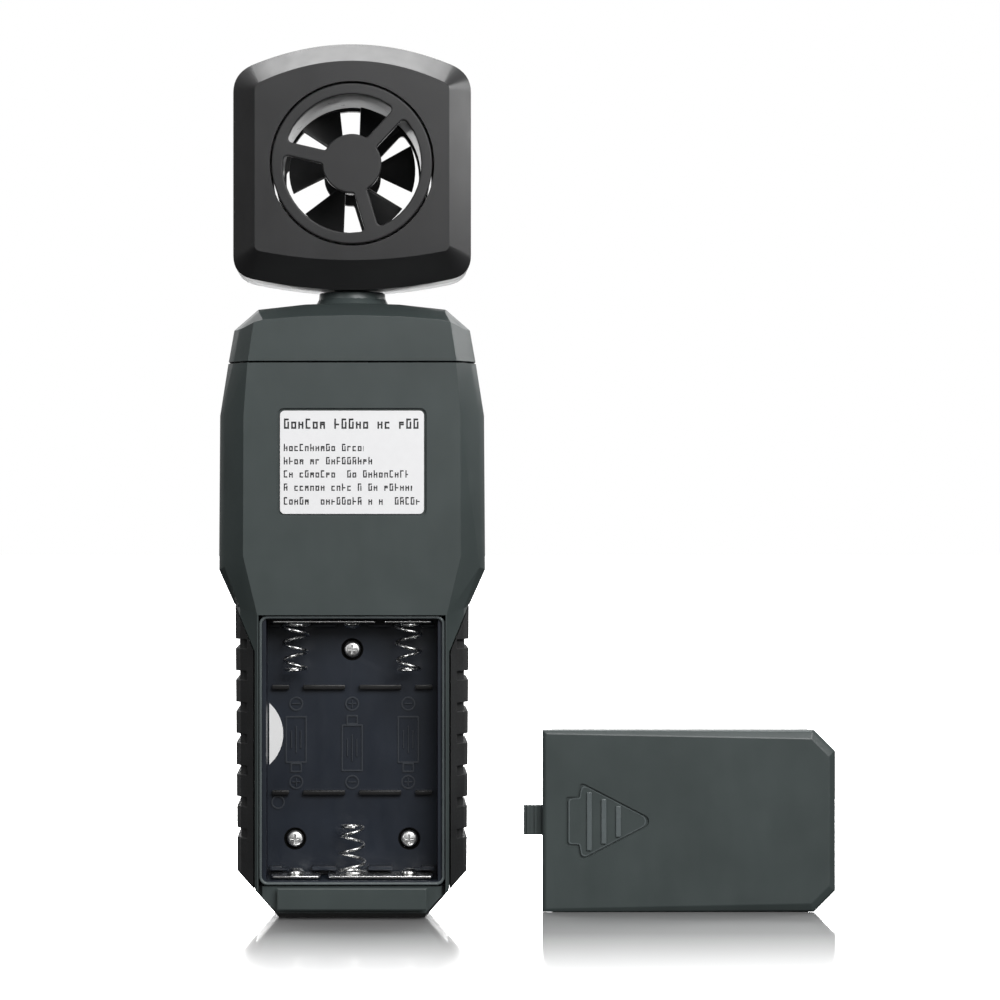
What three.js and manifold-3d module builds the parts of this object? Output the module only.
// Vane anemometer with a swivelling vane head, an open battery bay and its battery cover taken off.
// Millimetres, +Z up. The origin is the centre of the foot face, the rear of the instrument faces +Y
// and the display faces -Y. The cover stands on its long edge beside the instrument, on the -X side.
import * as THREE from "three";
import { mergeVertices } from "three/addons/utils/BufferGeometryUtils.js";
import Module from "manifold-3d";

const wasm = await Module();
wasm.setup();

// Driving dimensions
const FACE_Y = 14; // flat rear face; the display face is at -FACE_Y
const SHOULDER_Y = 10; // where the wide bevel ends
const FLANK_Y = 8; // where the narrow bevel ends and the side wall starts
const WALL = 2;
const GAP = 0.3; // clearance between separate pieces
const SEAM_Z = 105.7; // joint between the housing halves and the top cap
const TOP_Z = 117.2;
const NECK_TOP_Z = 119.3;

const RECESS_Y = 12.4; // face that the battery cover lies on
const RECESS_HALF = 17.7;
const BAY = { half: 16.3, bottom: 7.4, top: 56.9, floor: 2, wall: 0.7 };
const BAY_EDGE_Z = 57.8;
const PANEL_TOP_Z = BAY.bottom - BAY.wall - GAP;
const CELL_PITCH = 10.8;
const PLATE_THICKNESS = 0.4;
const SPRING = { radius: 2.3, wire: 0.3, turns: 5, length: 8.6, y: 7.2 };
const TRAY_SCREWS = [
  [0, 50.8],
  [11, 14.3],
  [-11, 14.3],
];

const GRIP_X = 18.7; // inner edge of a grip
const GRIP_TOP = { inner: 51, outer: 59.4 };
const NOTCH = { first: 15.3, pitch: 6, count: 7, height: 1.8, depth: 0.8, from: 19.9 };

const LABEL = { width: 27.6, height: 19.9, z: 86.7, recess: 0.6, thickness: 0.2, radius: 0.9 };
const WINDOW = { width: 37, height: 29, z: 85, thickness: 1.1, margin: 3 };
const BOARD = { half: 15.8, bottom: 10, top: 104, front: -5.5, rear: -3.9 };
const KEYS = [
  { name: "key_mode", x: 8.5, z: 58, half: 6, radius: 3.2 },
  { name: "key_units", x: -8.5, z: 58, half: 6, radius: 3.2 },
  { name: "key_power", x: 0, z: 39, half: 5.2, radius: 5.2 },
];

const DUCT = { z: 143.2, hole: 15.45, guard: 15.2, bore: 13.4, opening: 13.1 };
const HUB_DISC = 5.6;
const SPOKE = { width: 2.6, angles: [47, 167, 287] };
const VANE = { tip: 12.2, root: 3.9, hub: 4.2, hubHalf: 6, blades: 6, pitch: 35, first: 2 };
const SHAFT_RADIUS = 0.75;

const COVER = { half: 17.6, bottom: 0.9, top: 57.5, face: FACE_Y, under: 12.7, chamfer: 4.1 };
const COVER_REST = { x: -65, y: 2 };

// Shape helpers

/** Turns a closed geometry into a solid that can be cut and joined. */
function solid(geometry) {
  geometry.deleteAttribute("normal");
  geometry.deleteAttribute("uv");
  const merged = mergeVertices(geometry, 1e-4);
  return new wasm.Manifold(
    new wasm.Mesh({
      numProp: 3,
      vertProperties: new Float32Array(merged.attributes.position.array),
      triVerts: new Uint32Array(merged.index.array),
    }),
  );
}

/** Turns a finished solid back into a geometry. */
function geometryOf(body) {
  const data = body.getMesh();
  const geometry = new THREE.BufferGeometry();
  geometry.setAttribute("position", new THREE.BufferAttribute(new Float32Array(data.vertProperties), 3));
  geometry.setIndex(new THREE.BufferAttribute(new Uint32Array(data.triVerts), 1));
  geometry.computeVertexNormals();
  return geometry;
}

/** A box given by its lowest and highest corner. */
function block(low, high) {
  const size = high.map((value, axis) => value - low[axis]);
  const centre = high.map((value, axis) => (value + low[axis]) / 2);
  return solid(new THREE.BoxGeometry(...size).translate(...centre));
}

/** A round bar along Y from one Y to another. */
function barY(radius, from, to, x, z, segments = 32) {
  const bar = new THREE.CylinderGeometry(radius, radius, to - from, segments);
  return solid(bar.translate(x, (from + to) / 2, z));
}

/** A round bar along Z from one height to another, on the axis x = y = 0. */
function barZ(radius, from, to, segments = 32) {
  const bar = new THREE.CylinderGeometry(radius, radius, to - from, segments);
  return solid(bar.rotateX(Math.PI / 2).translate(0, 0, (from + to) / 2));
}

/** A profile of [radius, height] points turned about Z. */
function turnedZ(profile, segments = 40) {
  const points = profile.map(([radius, height]) => new THREE.Vector2(radius, height));
  return solid(new THREE.LatheGeometry(points, segments).rotateX(Math.PI / 2));
}

/** An outline of [x, z] points extruded along Y. */
function prism(outline, from, to) {
  const shape = new THREE.Shape(outline.map(([x, z]) => new THREE.Vector2(x, z)));
  const slab = new THREE.ExtrudeGeometry(shape, { depth: to - from, bevelEnabled: false });
  return solid(slab.rotateX(Math.PI / 2).translate(0, to, 0));
}

/** The outline of a rectangle with rounded corners, centred on x and z. */
function roundedOutline(halfWidth, halfHeight, radius, x, z, steps = 4) {
  const points = [];
  const corners = [[1, 1], [-1, 1], [-1, -1], [1, -1]];
  corners.forEach(([sideX, sideZ], corner) => {
    for (let step = 0; step <= steps; step += 1) {
      const angle = ((corner + step / steps) * Math.PI) / 2;
      const px = sideX * (halfWidth - radius) + radius * Math.cos(angle);
      const pz = sideZ * (halfHeight - radius) + radius * Math.sin(angle);
      points.push([x + px, z + pz]);
    }
  });
  const apart = ([ax, az], [bx, bz]) => Math.hypot(ax - bx, az - bz) > 1e-6;
  return points.filter((point, index) => apart(point, points[(index + 1) % points.length]));
}

/** A closed body through outlines with equal numbers of points, listed by rising Y. */
function loft(rings) {
  const count = rings[0].outline.length;
  const positions = rings.flatMap(({ y, outline }) => outline.flatMap(([x, z]) => [x, y, z]));
  const cap = THREE.ShapeUtils.triangulateShape(
    rings[0].outline.map(([x, z]) => new THREE.Vector2(x, z)),
    [],
  );
  const last = (rings.length - 1) * count;
  const index = [];
  cap.forEach(([a, b, c]) => {
    index.push(a, b, c);
    index.push(last + a, last + c, last + b);
  });
  for (let ring = 0; ring < rings.length - 1; ring += 1) {
    for (let point = 0; point < count; point += 1) {
      const a = ring * count + point;
      const b = ring * count + ((point + 1) % count);
      index.push(a, a + count, b + count, a, b + count, b);
    }
  }
  const geometry = new THREE.BufferGeometry();
  geometry.setAttribute("position", new THREE.Float32BufferAttribute(positions, 3));
  geometry.setIndex(index);
  return solid(geometry);
}

/** Mirrors the right half of an outline, given from bottom centre to top centre. */
function mirrored(half) {
  const left = half.slice(1, -1).map(([x, z]) => [-x, z]);
  return [...half, ...left.reverse()];
}

/** Moves every edge of an anticlockwise outline inwards by a distance. */
function inset(outline, distance) {
  const count = outline.length;
  return outline.map(([x, z], i) => {
    const [px, pz] = outline[(i + count - 1) % count];
    const [nx, nz] = outline[(i + 1) % count];
    const before = new THREE.Vector2(x - px, z - pz).normalize();
    const after = new THREE.Vector2(nx - x, nz - z).normalize();
    const normal = new THREE.Vector2(-before.y - after.y, before.x + after.x);
    const reach = distance / (1 + before.dot(after));
    return [x + normal.x * reach, z + normal.y * reach];
  });
}

/** A bar of constant section along a curve. */
function wire(curve, radius, steps, sides = 6) {
  const ring = [];
  for (let side = 0; side < sides; side += 1) {
    const angle = (side / sides) * 2 * Math.PI;
    ring.push(new THREE.Vector2(radius * Math.cos(angle), radius * Math.sin(angle)));
  }
  return solid(
    new THREE.ExtrudeGeometry(new THREE.Shape(ring), { steps, bevelEnabled: false, extrudePath: curve }),
  );
}

/** Joins several solids. */
function join(...bodies) {
  return bodies.reduce((whole, body) => whole.add(body));
}

/** Cuts several solids out of one. */
function cut(body, ...tools) {
  return tools.reduce((rest, tool) => rest.subtract(tool), body);
}

// Outer shape of the instrument: three outlines that share their corners, from bottom to top centre
const FLAT_OUTLINE = mirrored([
  [0, 1.8], [13.9, 1.8], [17.9, 5.6], [17.9, 57.8], [20.6, 69], [20.5, 95.6],
  [19.75, 105.7], [18.6, 113.2], [16.8, 113.7], [9, 114.3], [0, 114.5],
]);
const SHOULDER_OUTLINE = mirrored([
  [0, 0.5], [14, 0.5], [21.1, 8.3], [21.3, 59], [24.3, 66.8], [24.1, 95.6],
  [22.6, 105.7], [21.5, 112], [17.7, 115.3], [9, 116.2], [0, 116.6],
]);
const FLANK_OUTLINE = mirrored([
  [0, 0], [14, 0], [21.9, 8.9], [22.3, 59.4], [25.4, 66.3], [25.2, 95.6],
  [23.6, 105.7], [22.5, 111.9], [17.9, 115.9], [9, 116.9], [0, TOP_Z],
]);

/** The full shape of the instrument, moved inwards by a distance. */
function bodyShape(distance = 0) {
  const face = inset(FLAT_OUTLINE, distance);
  const shoulder = inset(SHOULDER_OUTLINE, distance);
  const flank = inset(FLANK_OUTLINE, distance);
  return loft([
    { y: distance - FACE_Y, outline: face },
    { y: distance / 2 - SHOULDER_Y, outline: shoulder },
    { y: -FLANK_Y, outline: flank },
    { y: FLANK_Y, outline: flank },
    { y: SHOULDER_Y - distance / 2, outline: shoulder },
    { y: FACE_Y - distance, outline: face },
  ]);
}

/** The space of one rubber grip, grown by a margin; side is 1 or -1. */
function gripSpace(side, margin) {
  const inner = GRIP_X - margin;
  const far = 30;
  const rise = (GRIP_TOP.outer - GRIP_TOP.inner) / (22.3 - GRIP_X);
  const top = (x) => GRIP_TOP.inner + (x - GRIP_X) * rise + margin * 2;
  const outline = [[inner, -5], [far, -5], [far, 59.4 + margin], [22.3, 59.4 + margin], [inner, top(inner)]];
  const placed = outline.map(([x, z]) => [side * x, z]);
  return prism(side > 0 ? placed : placed.reverse(), -20, 20);
}

/** Both halves of the housing before they are split: the outside less the grip pockets. */
function housingBlank() {
  return cut(
    bodyShape(),
    gripSpace(1, GAP),
    gripSpace(-1, GAP),
    block([-40, -20, SEAM_Z - GAP / 2], [40, 20, 130]),
  );
}

/** The hollow inside the housing, which leaves a thin wall beside the grips. */
function housingHollow() {
  const wallBesideGrip = 0.7;
  return cut(
    bodyShape(WALL),
    gripSpace(1, GAP + wallBesideGrip),
    gripSpace(-1, GAP + wallBesideGrip),
  );
}

// Housing pieces

function makeRearHousing() {
  const hollow = cut(housingHollow(), block([-30, RECESS_Y - WALL, -1], [30, 20, BAY_EDGE_Z]));
  const grooveBottom = RECESS_Y - 2.4;
  const trayHalf = BAY.half + BAY.wall;
  const labelHalf = [LABEL.width / 2 + GAP, LABEL.height / 2 + GAP];
  return cut(
    housingBlank(),
    block([-40, -20, -5], [40, GAP / 2, 130]),
    hollow,
    block([-RECESS_HALF, RECESS_Y, -5], [RECESS_HALF, 20, BAY_EDGE_Z]),
    block([-RECESS_HALF, -1, PANEL_TOP_Z], [RECESS_HALF, 20, BAY_EDGE_Z]),
    block([trayHalf, grooveBottom, -5], [RECESS_HALF, 20, PANEL_TOP_Z + 1]),
    block([-RECESS_HALF, grooveBottom, -5], [-trayHalf, 20, PANEL_TOP_Z + 1]),
    prism(roundedOutline(...labelHalf, LABEL.radius + GAP, 0, LABEL.z), FACE_Y - LABEL.recess, 20),
  );
}

function makeFrontHousing() {
  const shell = cut(housingBlank(), block([-40, -GAP / 2, -5], [40, 20, 130]), housingHollow());
  const pocket = [-WINDOW.width / 2 - GAP, -20, WINDOW.z - WINDOW.height / 2 - GAP];
  const pocketEnd = [WINDOW.width / 2 + GAP, -FACE_Y + 1.5, WINDOW.z + WINDOW.height / 2 + GAP];
  const view = [-WINDOW.width / 2 + WINDOW.margin, -20, WINDOW.z - WINDOW.height / 2 + WINDOW.margin];
  const viewEnd = [WINDOW.width / 2 - WINDOW.margin, -5, WINDOW.z + WINDOW.height / 2 - WINDOW.margin];
  const keyHoles = KEYS.map((key) =>
    prism(roundedOutline(key.half + GAP, key.radius + GAP, key.radius + GAP, key.x, key.z), -20, -5),
  );
  const posts = TRAY_SCREWS.map(([x, z]) => barY(2.7, -FACE_Y + 1, 0.5, x, z, 20));
  const pilots = TRAY_SCREWS.map(([x, z]) => barY(1.5, -9, 3, x, z, 16));
  return cut(join(cut(shell, block(pocket, pocketEnd), block(view, viewEnd), ...keyHoles), ...posts), ...pilots);
}

function makeTopCap() {
  const blank = cut(bodyShape(), block([-40, -20, -5], [40, 20, SEAM_Z + GAP / 2]));
  const collar = turnedZ([
    [0, 112.2], [7, 112.2], [7.6, 116.2], [6.9, 117.5], [6.3, 118.6], [5.8, NECK_TOP_Z], [0, NECK_TOP_Z],
  ], 32);
  return cut(join(cut(blank, bodyShape(WALL)), collar), barZ(5, 100, 125, 28));
}

function makeGrip(side) {
  const notches = Array.from({ length: NOTCH.count }, (_, step) => {
    const bottom = NOTCH.first + step * NOTCH.pitch;
    const xs = [side * NOTCH.from, side * 40].sort((a, b) => a - b);
    return block([xs[0], -20, bottom], [xs[1], 20, bottom + NOTCH.height]);
  });
  const core = bodyShape(NOTCH.depth);
  return cut(bodyShape().intersect(gripSpace(side, 0)), cut(join(...notches), core));
}

function makeBatteryTray() {
  const half = BAY.half + BAY.wall;
  const low = BAY.bottom - BAY.wall;
  const high = BAY_EDGE_Z - GAP;
  const under = BAY.floor - 1.2;
  const ribHeight = 1.2;
  const ribs = [];
  [23.2, 43.5].forEach((z) => {
    const spans = [[-15.4, -12.2], [-9.4, -1.4], [1.4, 9.4], [12.2, 15.4]];
    spans.forEach(([from, to]) => ribs.push(block([from, 1.5, z - 0.4], [to, BAY.floor + ribHeight, z + 0.4])));
  });
  const ledges = [-13.2, -5.4, 5.4, 13.2].flatMap((x) => [
    block([x - 1.6, 1.5, BAY.top - 1.4], [x + 1.6, 4, BAY.top - 1]),
    block([x - 1.6, 1.5, BAY.bottom + 1], [x + 1.6, 4, BAY.bottom + 1.4]),
  ]);
  const wells = TRAY_SCREWS.map(([x, z]) => barY(1.55, 0, 4, x, z, 16));
  const shell = cut(
    block([-half, under, low], [half, RECESS_Y, high]),
    block([-BAY.half, BAY.floor, BAY.bottom], [BAY.half, 20, BAY.top]),
    block([-30, FACE_Y - WALL - GAP, BAY.top - 0.01], [30, 20, 70]),
    block([-3.4, 9.8, BAY.top - 1], [3.4, 20, 70]),
  );
  return cut(join(shell, ...ribs, ...ledges), ...wells);
}

function makeTrayScrew(x, z) {
  const shank = barY(1.2, -6, BAY.floor + GAP + 0.1, x, z, 16);
  const head = barY(1.45, BAY.floor + GAP, BAY.floor + GAP + 1.1, x, z, 20);
  const slot = BAY.floor + GAP + 0.6;
  const cross = join(
    block([x - 0.9, slot, z - 0.15], [x + 0.9, 5, z + 0.15]),
    block([x - 0.15, slot, z - 0.9], [x + 0.15, 5, z + 0.9]),
  );
  return cut(join(shank, head), cross);
}

/** A contact plate across one or two cells, with a button bump for each positive end. */
function makeContactPlate(from, to, atTop, bumps) {
  const face = atTop ? BAY.top - GAP - PLATE_THICKNESS : BAY.bottom + GAP;
  const plate = block([from, 3.2, face], [to, 11, face + PLATE_THICKNESS]);
  const buttons = bumps.map((x) => {
    const base = atTop ? face + 0.1 : face + PLATE_THICKNESS - 0.1;
    const tip = atTop ? face - 1.1 : face + PLATE_THICKNESS + 1.1;
    const dome = new THREE.CylinderGeometry(atTop ? 2.2 : 1.2, atTop ? 1.2 : 2.2, Math.abs(tip - base), 20);
    return solid(dome.rotateX(Math.PI / 2).translate(x, SPRING.y, (base + tip) / 2));
  });
  return join(plate, ...buttons);
}

/** A battery spring that stands on its contact plate. */
function makeSpring(x, atTop) {
  const start = atTop
    ? BAY.top - 2 * GAP - PLATE_THICKNESS - SPRING.wire
    : BAY.bottom + 2 * GAP + PLATE_THICKNESS + SPRING.wire;
  const direction = atTop ? -1 : 1;
  class Coil extends THREE.Curve {
    getPoint(t, target = new THREE.Vector3()) {
      const angle = t * SPRING.turns * 2 * Math.PI;
      return target.set(
        x + SPRING.radius * Math.cos(angle),
        SPRING.y + SPRING.radius * Math.sin(angle),
        start + direction * SPRING.length * t,
      );
    }
  }
  return wire(new Coil(), SPRING.wire, SPRING.turns * 10, 5);
}

function makeLabel() {
  const from = FACE_Y - LABEL.recess + GAP;
  const outline = roundedOutline(LABEL.width / 2, LABEL.height / 2, LABEL.radius, 0, LABEL.z);
  return prism(outline, from, from + LABEL.thickness);
}

/** The visible part of a round sticker that is cut off by the wall of the bay. */
function makeInspectionSticker() {
  const wallX = BAY.half - GAP;
  const radius = 7.9;
  const visible = 2.7;
  const z = 34.5;
  const disc = barY(radius, BAY.floor + GAP, BAY.floor + GAP + 0.15, wallX - visible + radius, z, 48);
  return cut(disc, block([wallX, 0, 0], [60, 6, 60]));
}

function makeMainBoard() {
  const plate = block([-BOARD.half, BOARD.front, BOARD.bottom], [BOARD.half, BOARD.rear, BOARD.top]);
  return cut(plate, ...TRAY_SCREWS.map(([x, z]) => barY(3.1, -8, 0, x, z, 20)));
}

function makeTactSwitch(key) {
  const rear = BOARD.front - GAP;
  const base = block([key.x - 2.5, rear - 1, key.z - 2.5], [key.x + 2.5, rear, key.z + 2.5]);
  return join(base, barY(1.4, rear - 1.3, rear - 0.5, key.x, key.z, 16));
}

function makeKey(key) {
  const flangeFront = -FACE_Y + WALL + GAP;
  const outline = roundedOutline(key.half, key.radius, key.radius, key.x, key.z);
  const cap = prism(outline, -FACE_Y - 1, flangeFront + 0.2);
  const flange = [key.half + 0.8, key.radius + 0.8, key.radius + 0.8];
  const collar = prism(roundedOutline(...flange, key.x, key.z), flangeFront, flangeFront + 1);
  const stem = barY(1.6, flangeFront + 0.5, -8.3, key.x, key.z, 16);
  return join(cap, collar, stem);
}

function makeLead(points, radius, steps) {
  const path = new THREE.CatmullRomCurve3(points.map((point) => new THREE.Vector3(...point)));
  return wire(path, radius, steps, 8);
}

// Head pieces

/** Outline of the head: bowed bottom, straight sides and arched top. */
function headOutline({ half, bottom, bottomCorner, topCorner, top, radius }) {
  const steps = 4;
  const points = [];
  const bottomAt = (x) => bottom + (bottomCorner - bottom) * (x / half) ** 2;
  const topAt = (x) => top + (topCorner - top) * (x / half) ** 2;
  const corner = (start, tip, end) => {
    const curve = new THREE.QuadraticBezierCurve(
      new THREE.Vector2(...start),
      new THREE.Vector2(...tip),
      new THREE.Vector2(...end),
    );
    curve.getPoints(steps).forEach((point) => points.push([point.x, point.y]));
  };
  const edge = half - radius;
  for (let step = 0; step < steps; step += 1) {
    points.push([(edge * step) / steps, bottomAt((edge * step) / steps)]);
  }
  corner([edge, bottomAt(edge)], [half, bottomCorner], [half, bottomCorner + radius]);
  corner([half, topCorner - radius], [half, topCorner], [edge, topAt(edge)]);
  for (let step = steps - 1; step >= 0; step -= 1) {
    points.push([(edge * step) / steps, topAt((edge * step) / steps)]);
  }
  return mirrored(points);
}

const HEAD_EDGE = { half: 22.4, bottom: 119.6, bottomCorner: 122.2, topCorner: 160.2, top: 165.6, radius: 4 };
const HEAD_PANEL = { half: 18.4, bottom: 124.9, bottomCorner: 126.8, topCorner: 158.1, top: 162.6, radius: 1 };

/** The same outline moved inwards by a distance, with its corners kept round. */
function shrunk(sizes, distance) {
  return headOutline({
    half: sizes.half - distance,
    bottom: sizes.bottom + distance,
    bottomCorner: sizes.bottomCorner + distance,
    topCorner: sizes.topCorner - distance,
    top: sizes.top - distance,
    radius: Math.max(sizes.radius - distance, 0.8),
  });
}

function headShape(distance = 0) {
  const panel = shrunk(HEAD_PANEL, distance * 0.6);
  const edge = shrunk(HEAD_EDGE, distance);
  return loft([
    { y: distance - FACE_Y, outline: panel },
    { y: -FLANK_Y, outline: edge },
    { y: FLANK_Y, outline: edge },
    { y: FACE_Y - distance, outline: panel },
  ]);
}

/** One shell of the head; side is 1 for the rear and -1 for the front. */
function makeHeadShell(side) {
  const away = [-side * 30, side * (GAP / 2)].sort((a, b) => a - b);
  return cut(
    headShape(),
    block([-40, away[0], 100], [40, away[1], 180]),
    headShape(WALL),
    barY(DUCT.hole, -20, 20, 0, DUCT.z, 48),
    barZ(3.8, 115, 122, 24),
  );
}

/** A guard across one end of the duct; side is 1 for the rear and -1 for the front. */
function makeGuard(side) {
  const span = (from, to) => [side * from, side * to].sort((a, b) => a - b);
  const ring = cut(
    barY(DUCT.guard, ...span(12, FACE_Y), 0, DUCT.z, 48),
    barY(DUCT.opening, ...span(10, 15), 0, DUCT.z, 48),
  );
  const spokes = SPOKE.angles.map((degrees) => {
    const reach = DUCT.opening + 0.6;
    const spoke = new THREE.BoxGeometry(reach, 1.6, SPOKE.width).translate(reach / 2, 0, 0);
    spoke.rotateY(THREE.MathUtils.degToRad(180 + degrees)).translate(0, side * (FACE_Y - 0.8), DUCT.z);
    return solid(spoke);
  });
  const hub = join(
    barY(HUB_DISC, ...span(12.2, FACE_Y), 0, DUCT.z, 32),
    barY(3.4, ...span(9.6, 12.4), 0, DUCT.z, 20),
  );
  return cut(join(ring, hub, ...spokes), barY(2.3, ...span(9, 12.1), 0, DUCT.z, 20));
}

function makeDuctSleeve() {
  const end = 12 - GAP;
  return cut(
    barY(DUCT.guard - 0.1, -end, end, 0, DUCT.z, 48),
    barY(DUCT.bore, -20, 20, 0, DUCT.z, 48),
  );
}

function makeBearing(side) {
  const [from, to] = [side * 9.9, side * 11.7].sort((a, b) => a - b);
  const bore = barY(SHAFT_RADIUS + GAP, from - 1, to + 1, 0, DUCT.z, 20);
  return cut(barY(2, from, to, 0, DUCT.z, 24), bore);
}

function makeNeckSpigot() {
  const tube = turnedZ([
    [1.8, 109.8], [3.5, 109.8], [3.5, 110.8], [2.9, 110.8], [2.9, 112.1], [3.5, 112.1],
    [3.5, 123.1], [1.8, 123.1], [1.8, 109.8],
  ], 20);
  const flange = cut(block([-5.5, -5.5, 121.95], [5.5, 5.5, 123.1]), barZ(3, 120, 125, 16));
  return join(tube, flange);
}

function makeNeckBush() {
  return cut(barZ(4.7, 112.6, 118.9, 28), barZ(3.8, 110, 125, 28));
}

function makeSpigotClip() {
  const ring = cut(barZ(5.4, 111.1, 111.8, 24), barZ(3.2, 110, 113, 24));
  return cut(ring, block([-1, 0, 110], [1, 10, 113]));
}

function makeImpeller() {
  const rootChord = 3.6;
  const tipChord = 10.4;
  const thickness = 0.7;
  const blades = Array.from({ length: VANE.blades }, (_, step) => {
    const outline = [
      new THREE.Vector2(VANE.root - 0.6, -rootChord / 2),
      new THREE.Vector2(VANE.tip + 1, -tipChord / 2),
      new THREE.Vector2(VANE.tip + 1, tipChord / 2),
      new THREE.Vector2(VANE.root - 0.6, rootChord / 2),
    ];
    const plate = { depth: thickness, bevelEnabled: false };
    const blade = new THREE.ExtrudeGeometry(new THREE.Shape(outline), plate).translate(0, 0, -thickness / 2);
    blade.rotateX(THREE.MathUtils.degToRad(90 - VANE.pitch));
    blade.rotateY(THREE.MathUtils.degToRad(180 + VANE.first + (360 / VANE.blades) * step));
    return solid(blade.translate(0, 0, DUCT.z));
  });
  const trimmed = join(...blades).intersect(barY(VANE.tip, -10, 10, 0, DUCT.z, 48));
  const hub = barY(VANE.hub, -VANE.hubHalf, VANE.hubHalf, 0, DUCT.z, 24);
  const bore = barY(SHAFT_RADIUS + GAP, -10, 10, 0, DUCT.z, 12);
  const pocket = barY(3.1, -10, -VANE.hubHalf + 2.6, 0, DUCT.z, 20);
  return cut(join(hub, trimmed), bore, pocket);
}

function makeImpellerMagnet() {
  const front = -VANE.hubHalf + 0.3;
  const bore = barY(SHAFT_RADIUS + GAP, -10, 0, 0, DUCT.z, 20);
  return cut(barY(2.8, front, front + 2, 0, DUCT.z, 28), bore);
}

// Battery cover, modelled as it sits closed and then laid beside the instrument

function makeBatteryCover() {
  const { half, bottom, top, face, under, chamfer } = COVER;
  const outline = [
    [half - chamfer, bottom], [half, bottom + chamfer], [half, top],
    [-half, top], [-half, bottom + chamfer], [chamfer - half, bottom],
  ];
  const edged = inset(outline, 0.8);
  const plate = loft([
    { y: under, outline },
    { y: face - 0.7, outline },
    { y: face, outline: edged },
  ]);
  const rails = [1, -1].map((side) => {
    const xs = [side * 17.1, side * half].sort((a, b) => a - b);
    return block([xs[0], RECESS_Y - 1.9, bottom + chamfer + 1], [xs[1], under + 0.2, top - 2]);
  });
  const tongue = join(
    block([-2.9, 10.2, 54.6], [2.9, under + 0.2, 56.2]),
    block([-2.9, 10.2, 54.6], [2.9, 11.3, 61.1]),
  );
  return join(plate, ...rails, tongue);
}

// Materials
const finishes = {
  housing: { color: 0x48524f, roughness: 0.55, metalness: 0 },
  head: { color: 0x3b3b3c, roughness: 0.5, metalness: 0 },
  headFront: { color: 0xa5a7a9, roughness: 0.45, metalness: 0 },
  rubber: { color: 0x17191a, roughness: 0.8, metalness: 0 },
  tray: { color: 0x22272e, roughness: 0.45, metalness: 0 },
  nickel: { color: 0xc9ccce, roughness: 0.25, metalness: 1 },
  label: { color: 0xefefef, roughness: 0.6, metalness: 0 },
  board: { color: 0x1f5a38, roughness: 0.6, metalness: 0 },
  black: { color: 0x0d0d0e, roughness: 0.5, metalness: 0 },
  glass: { color: 0x9fb0a0, roughness: 0.1, metalness: 0 },
  window: { color: 0xdfe6ea, roughness: 0.05, metalness: 0 },
  sleeve: { color: 0x9a9b9c, roughness: 0.4, metalness: 0 },
  brass: { color: 0xb08d4a, roughness: 0.35, metalness: 1 },
  lightPlastic: { color: 0xd8dadb, roughness: 0.5, metalness: 0 },
  redWire: { color: 0xa51d1d, roughness: 0.5, metalness: 0 },
  blackWire: { color: 0x141414, roughness: 0.5, metalness: 0 },
  key: { color: 0x2b3033, roughness: 0.6, metalness: 0 },
};

/** Makes one named mesh from a solid and one of the finishes. */
function piece(name, body, finish) {
  const mesh = new THREE.Mesh(geometryOf(body), new THREE.MeshStandardMaterial(finishes[finish]));
  mesh.name = name;
  return mesh;
}

const housing = new THREE.Group();
housing.add(
  piece("rear_housing", makeRearHousing(), "housing"),
  piece("front_housing", makeFrontHousing(), "housing"),
  piece("top_cap", makeTopCap(), "housing"),
  piece("grip_left", makeGrip(1), "rubber"),
  piece("grip_right", makeGrip(-1), "rubber"),
  piece("battery_tray", makeBatteryTray(), "tray"),
  piece("rear_label", makeLabel(), "label"),
  piece("inspection_sticker", makeInspectionSticker(), "label"),
  piece("contact_top_pair", makeContactPlate(-4.6, 15.4, true, [0]), "nickel"),
  piece("contact_top_single", makeContactPlate(-15.4, -6, true, []), "nickel"),
  piece("contact_bottom_single", makeContactPlate(6, 15.4, false, [CELL_PITCH]), "nickel"),
  piece("contact_bottom_pair", makeContactPlate(-15.4, 4.6, false, [-CELL_PITCH]), "nickel"),
  piece("battery_spring_left", makeSpring(CELL_PITCH, true), "nickel"),
  piece("battery_spring_right", makeSpring(-CELL_PITCH, true), "nickel"),
  piece("battery_spring_middle", makeSpring(0, false), "nickel"),
  piece("main_board", makeMainBoard(), "board"),
  piece("controller_chip", block([-4, BOARD.front - 1.3, 25], [4, BOARD.front - GAP, 33]), "black"),
  piece("lead_socket", block([-3, BOARD.rear + GAP, 101.5], [3, 1.6, 106.2]), "lightPlastic"),
  piece("neck_bush", makeNeckBush(), "lightPlastic"),
);
TRAY_SCREWS.forEach(([x, z], index) => {
  housing.add(piece(`tray_screw_${index + 1}`, makeTrayScrew(x, z), "nickel"));
});
KEYS.forEach((key) => {
  housing.add(piece(`${key.name}_switch`, makeTactSwitch(key), "black"));
});

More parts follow.
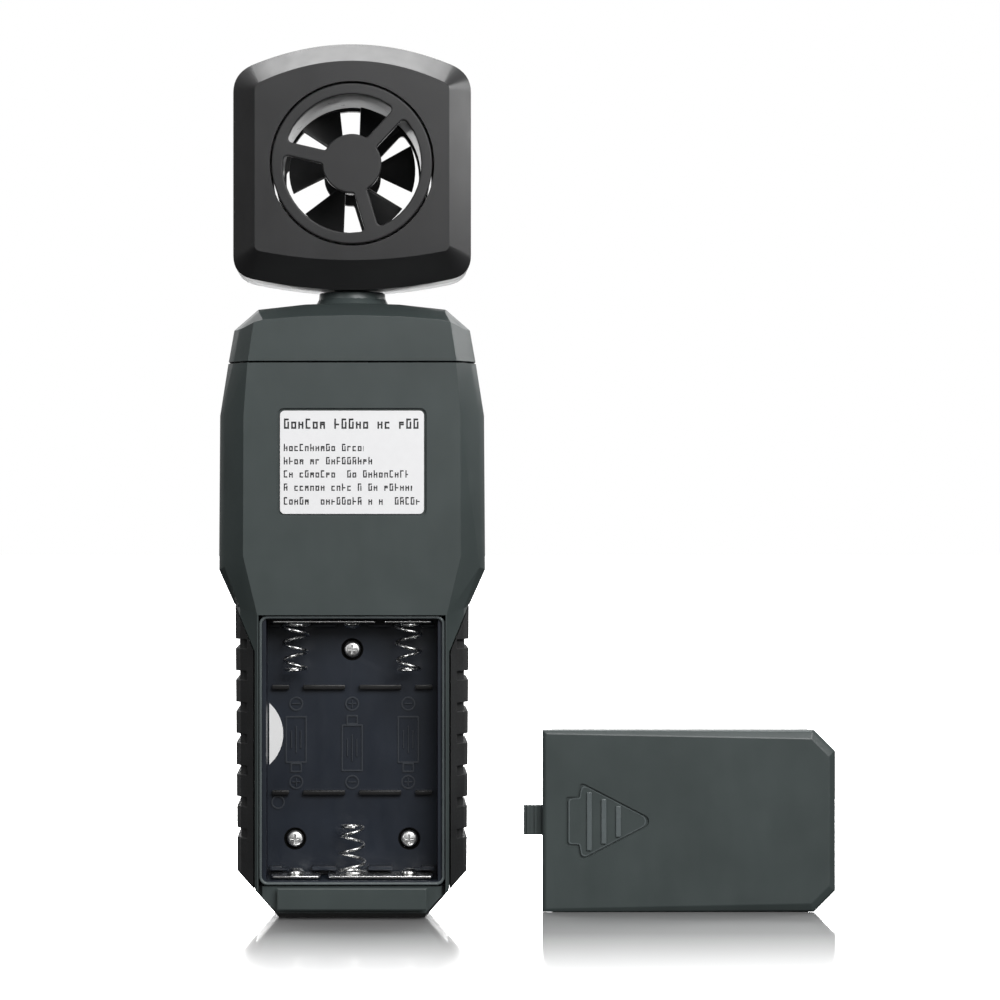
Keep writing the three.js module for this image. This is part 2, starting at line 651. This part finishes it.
const windowHalf = [WINDOW.width / 2, WINDOW.height / 2];
const windowRear = -FACE_Y + 1.5 - GAP;
const windowOutline = roundedOutline(...windowHalf, 1, 0, WINDOW.z);
const glassLow = WINDOW.z - 14.6;
const glassHigh = WINDOW.z + 13.4;
housing.add(
  piece("display_window", prism(windowOutline, windowRear - WINDOW.thickness, windowRear), "window"),
  piece("display_glass", block([-17.5, -11.7, glassLow], [17.5, -9.6, glassHigh]), "glass"),
  piece("display_backlight", block([-17, -9.3, glassLow + 3.2], [17, -7.6, glassHigh - 0.6]), "lightPlastic"),
  piece("display_connector_strip", block([-17, -9.3, glassLow + 0.4], [17, -5.8, glassLow + 2.6]), "black"),
  piece("battery_lead_red", makeLead([[14.4, 0, 10], [14.4, -1.6, 16], [13.6, -2.6, 22], [13, -3.1, 27]], 0.45, 12), "redWire"),
  piece("battery_lead_black", makeLead([[-14.4, 0, 54], [-14.4, -1.6, 48], [-13.6, -2.6, 42], [-13, -3.1, 37]], 0.45, 12), "blackWire"),
);

const head = new THREE.Group();
head.add(
  piece("head_rear_shell", makeHeadShell(1), "head"),
  piece("head_front_shell", makeHeadShell(-1), "headFront"),
  piece("rear_guard", makeGuard(1), "head"),
  piece("front_guard", makeGuard(-1), "head"),
  piece("duct_sleeve", makeDuctSleeve(), "sleeve"),
  piece("bearing_rear", makeBearing(1), "brass"),
  piece("bearing_front", makeBearing(-1), "brass"),
  piece("neck_spigot", makeNeckSpigot(), "black"),
  piece("spigot_clip", makeSpigotClip(), "nickel"),
  piece("sensor_board", block([-7, -5, 124.4], [7, 5, 125.4]), "board"),
  piece("pickup_sensor", block([-3.4, -1, 125.7], [-0.8, 1, 127.2]), "black"),
  piece("thermistor", solid(new THREE.SphereGeometry(0.9, 12, 8).translate(3.5, 0, 126.7)), "brass"),
  piece("sensor_lead", barZ(0.9, 106.6, 124.1, 12), "blackWire"),
);

const impeller = new THREE.Group();
impeller.add(
  piece("impeller", makeImpeller(), "black"),
  piece("impeller_shaft", barY(SHAFT_RADIUS, -11.6, 11.6, 0, DUCT.z, 16), "nickel"),
  piece("impeller_magnet", makeImpellerMagnet(), "black"),
);
head.add(impeller);

const keys = new THREE.Group();
KEYS.forEach((key) => keys.add(piece(key.name, makeKey(key), "key")));

const cover = new THREE.Group();
const coverMesh = piece("battery_cover", makeBatteryCover(), "housing");
coverMesh.position.set(0, -COVER.face, -(COVER.bottom + COVER.top) / 2);
cover.add(coverMesh);
cover.rotation.y = Math.PI / 2;
cover.position.set(COVER_REST.x, COVER_REST.y, COVER.half);

const anemometer = new THREE.Group();
anemometer.add(housing, head, keys, cover);

export default anemometer;
